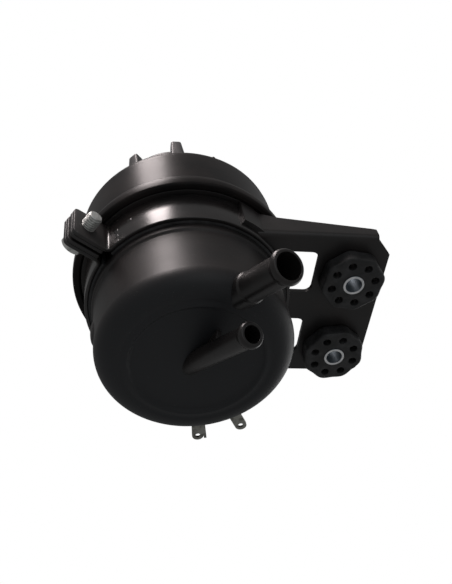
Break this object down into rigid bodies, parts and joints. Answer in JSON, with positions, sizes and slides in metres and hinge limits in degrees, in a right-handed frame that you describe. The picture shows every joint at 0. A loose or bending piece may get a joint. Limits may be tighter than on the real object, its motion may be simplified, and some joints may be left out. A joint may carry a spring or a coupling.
{
  "type": "hydraulic fluid reservoir",
  "caption": "Cylindrical hydraulic fluid reservoir with return filter, lift-off cover, screw filler cap, angled hose nipples and a clamped side bracket on rubber bushings.",
  "frame": {"origin": "midway between the two bushing sleeves' axes, on the plane of the sleeves' lower ends, where the reservoir is bolted on", "axes": "+Z along the sleeves and the canister's axis towards the filler cap, +X from the canister to the bracket, +Y along the line of the bushings"},
  "size_m": [0.1745, 0.1382, 0.1984],
  "materials": {
    "black_steel": "satin black enamel over steel",
    "black_cap": "fine-grained black moulding",
    "black_rubber": "matt black rubber",
    "zinc_steel": "bright zinc plate",
    "clip_steel": "dull olive-grey plated spring steel",
    "filter_paper": "resin-treated pleated paper",
    "breather_foam": "open-cell foam"
  },
  "bodies": {
    "reservoir": {"canister": "black_steel", "suction_nipple": "black_steel", "return_nipple": "black_steel", "filter_seat": "zinc_steel", "filter_spring": "zinc_steel", "clamp_band": "black_steel", "band_liner": "black_rubber", "clamp_washer": "zinc_steel", "clamp_bolt": "zinc_steel", "bracket": "black_steel", "bushing_1": "black_rubber", "bushing_2": "black_rubber", "sleeve_1": "zinc_steel", "sleeve_2": "zinc_steel", "hose_clip": "clip_steel", "clip_rivet": "zinc_steel"},
    "cover_seal": {"cover_seal": "black_rubber"},
    "cover": {"cover": "black_steel"},
    "cap_seal": {"cap_seal": "black_rubber"},
    "cap_insert": {"cap_insert": "black_cap", "breather_foam": "breather_foam", "dipstick": "zinc_steel"},
    "cap": {"filler_cap": "black_cap"},
    "filter": {"filter_bottom_cap": "zinc_steel", "filter_core": "zinc_steel", "filter_element": "filter_paper", "filter_top_cap": "zinc_steel"}
  },
  "joints": [
    {"name": "cover_lift", "type": "slide", "parent": "reservoir", "child": "cover_seal", "axis": [0, 0, 1], "range_m": [0, 0.06]},
    {"name": "cover_turn", "type": "hinge", "parent": "cover_seal", "child": "cover", "pos_m": [-0.0868, -0.0046, 0.0342], "axis": [0, 0, 1], "range_deg": [0, 60]},
    {"name": "cap_lift", "type": "slide", "parent": "cover", "child": "cap_seal", "axis": [0, 0, 1], "range_m": [0, 0.1]},
    {"name": "cap_rise", "type": "slide", "parent": "cap_seal", "child": "cap_insert", "axis": [0, 0, 1], "range_m": [0, 0.0061]},
    {"name": "cap_turn", "type": "hinge", "parent": "cap_insert", "child": "cap", "pos_m": [-0.0868, -0.0046, 0.1062], "axis": [0, 0, 1], "range_deg": [0, 540]},
    {"name": "filter_bypass", "type": "slide", "parent": "reservoir", "child": "filter", "axis": [0, 0, 1], "range_m": [0, 0.004], "stiffness_N_per_m": 1500, "springref_m": -0.01, "deforming": ["filter_spring"]}
  ],
  "couplings": [
    {"joint": "cap_rise", "follows": "cap_turn", "m_per_rad": 0.00063662}
  ]
}
